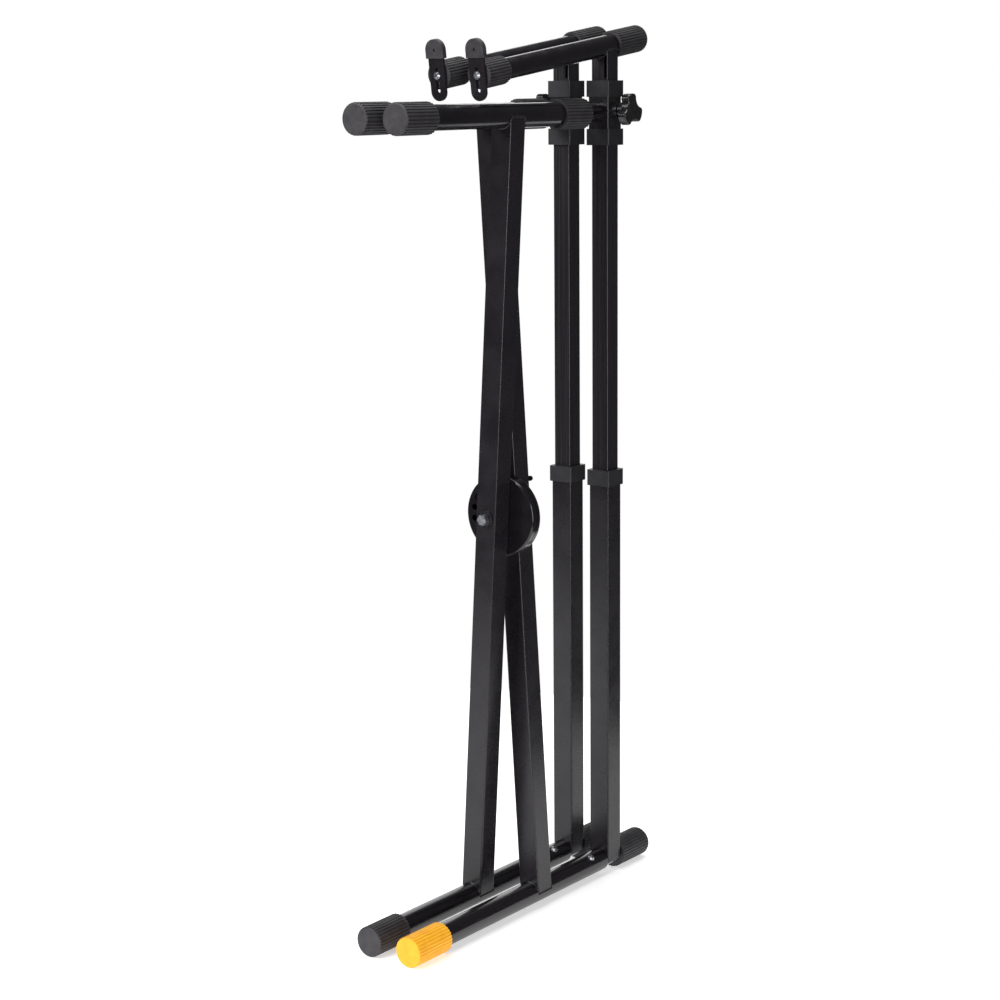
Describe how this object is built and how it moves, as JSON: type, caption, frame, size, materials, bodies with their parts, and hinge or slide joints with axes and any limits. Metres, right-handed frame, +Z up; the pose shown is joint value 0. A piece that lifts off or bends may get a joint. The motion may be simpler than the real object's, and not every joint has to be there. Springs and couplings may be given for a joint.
{
  "type": "two-tier keyboard stand",
  "caption": "Folding X-frame keyboard stand with two telescopic uprights that carry a tilted second tier; shown folded flat for storage.",
  "frame": {"origin": "on the floor, midway between the two floor tubes, 4.7 mm behind the middle of the folded stand's bounding box", "axes": "+Z up, +Y to the rear along the floor tubes, +X to the right seen from the front, where the levelling cap is"},
  "size_m": [0.159, 0.5466, 1.2014],
  "materials": {
    "black_powder_coat": "satin, fine texture",
    "black_gloss_coat": "semi-gloss",
    "zinc_steel": "bright zinc plate",
    "black_oxide_steel": "satin",
    "grey_rubber": "matte, ribbed",
    "grey_plastic": "matte",
    "black_plastic": "satin",
    "yellow_plastic": "matte, ribbed",
    "nylon": "natural"
  },
  "bodies": {
    "upright_far": {"lower_post_far": "black_powder_coat", "foot_spigot_far": "zinc_steel", "post_collar_far": "grey_plastic", "rear_foot_cap_far": "grey_rubber"},
    "mast_far": {"mast_far": "black_powder_coat", "mast_glide_far": "nylon", "second_tier_arm_far": "black_gloss_coat", "second_tier_caps_far": "grey_rubber", "stop_screw_far": "zinc_steel"},
    "stop_far": {"stop_strap_far": "black_powder_coat", "stop_pad_far": "grey_rubber"},
    "front_leg_frame": {"front_leg": "black_powder_coat", "floor_tube_far": "black_gloss_coat", "floor_cap_far": "grey_rubber", "first_tier_arm_near": "black_gloss_coat", "first_tier_cap_near": "grey_rubber", "arm_bush_near": "grey_rubber", "nylon_bushes_front_leg": "nylon", "retaining_bolt_far": "zinc_steel", "index_disc": "black_gloss_coat", "friction_washer": "nylon", "pivot_tube": "zinc_steel", "pivot_bolt": "zinc_steel", "pivot_washers": "black_oxide_steel", "pivot_nut": "zinc_steel"},
    "rear_leg_frame": {"rear_leg": "black_powder_coat", "floor_tube_near": "black_gloss_coat", "first_tier_arm_far": "black_gloss_coat", "first_tier_cap_far": "grey_rubber", "arm_bush_far": "grey_rubber", "nylon_bushes_rear_leg": "nylon", "retaining_bolt_near": "zinc_steel", "bearing_disc": "black_gloss_coat", "pin_guide": "zinc_steel"},
    "lock_pin": {"locking_pin": "zinc_steel", "pull_tab": "black_powder_coat"},
    "levelling_cap": {"levelling_cap": "yellow_plastic"},
    "upright_near": {"lower_post_near": "black_powder_coat", "foot_spigot_near": "zinc_steel", "post_collar_near": "grey_plastic", "rear_foot_cap_near": "grey_rubber"},
    "mast_near": {"mast_near": "black_powder_coat", "mast_glide_near": "nylon", "second_tier_arm_near": "black_gloss_coat", "second_tier_caps_near": "grey_rubber", "stop_screw_near": "zinc_steel"},
    "stop_near": {"stop_strap_near": "black_powder_coat", "stop_pad_near": "grey_rubber"},
    "sleeve_far": {"clamp_sleeve_far": "black_powder_coat", "sleeve_collars_far": "grey_plastic", "sleeve_spigot_far": "black_gloss_coat", "clamp_nut_far": "black_powder_coat"},
    "sleeve_near": {"clamp_sleeve_near": "black_powder_coat", "sleeve_collars_near": "grey_plastic", "sleeve_spigot_near": "black_gloss_coat", "clamp_nut_near": "black_powder_coat"},
    "knob_far": {"clamp_knob_far": "black_plastic", "knob_stud_far": "zinc_steel"},
    "knob_near": {"clamp_knob_near": "black_plastic", "knob_stud_near": "zinc_steel"}
  },
  "joints": [
    {"name": "fold", "type": "hinge", "parent": "upright_far", "child": "front_leg_frame", "pos_m": [-0.032, 0.135, 0.0205], "axis": [0, 1, 0], "range_deg": [0, 48]},
    {"name": "scissor_pivot", "type": "hinge", "parent": "front_leg_frame", "child": "rear_leg_frame", "pos_m": [0, -0.015, 0.55175], "axis": [0, 1, 0], "range_deg": [-96, 0]},
    {"name": "near_foot_pivot", "type": "hinge", "parent": "rear_leg_frame", "child": "upright_near", "pos_m": [0.032, 0.135, 0.0205], "axis": [0, 1, 0], "range_deg": [0, 48]},
    {"name": "far_sleeve_pivot", "type": "hinge", "parent": "rear_leg_frame", "child": "sleeve_far", "pos_m": [-0.032, 0.1, 1.083], "axis": [0, 1, 0], "range_deg": [0, 48]},
    {"name": "near_sleeve_pivot", "type": "hinge", "parent": "front_leg_frame", "child": "sleeve_near", "pos_m": [0.032, 0.1, 1.083], "axis": [0, 1, 0], "range_deg": [-48, 0]},
    {"name": "far_mast_slide", "type": "slide", "parent": "upright_far", "child": "mast_far", "axis": [0, 0, 1], "range_m": [0, 0.32]},
    {"name": "near_mast_slide", "type": "slide", "parent": "upright_near", "child": "mast_near", "axis": [0, 0, 1], "range_m": [0, 0.32]},
    {"name": "far_stop_slide", "type": "slide", "parent": "mast_far", "child": "stop_far", "axis": [0, -0.1314, 0.9913], "range_m": [-0.002, 0.019]},
    {"name": "near_stop_slide", "type": "slide", "parent": "mast_near", "child": "stop_near", "axis": [0, -0.1314, 0.9913], "range_m": [-0.002, 0.019]},
    {"name": "lock_pull", "type": "slide", "parent": "rear_leg_frame", "child": "lock_pin", "axis": [0, 1, 0], "range_m": [0, 0.01], "stiffness_N_per_m": 600, "springref_m": -0.01},
    {"name": "levelling_turn", "type": "hinge", "parent": "rear_leg_frame", "child": "levelling_cap", "pos_m": [0.032, -0.245, 0.0205], "axis": [0, 1, 0], "range_deg": [-90, 90]},
    {"name": "far_knob_turn", "type": "hinge", "parent": "sleeve_far", "child": "knob_far", "pos_m": [-0.069, 0.183, 1.0865], "axis": [-1, 0, 0], "range_deg": [0, 540]},
    {"name": "near_knob_turn", "type": "hinge", "parent": "sleeve_near", "child": "knob_near", "pos_m": [0.069, 0.183, 1.0865], "axis": [1, 0, 0], "range_deg": [0, 540]}
  ],
  "couplings": [
    {"joint": "scissor_pivot", "follows": "fold", "ratio": -2},
    {"joint": "near_foot_pivot", "follows": "fold", "ratio": 1},
    {"joint": "far_sleeve_pivot", "follows": "fold", "ratio": 1},
    {"joint": "near_sleeve_pivot", "follows": "fold", "ratio": -1}
  ]
}
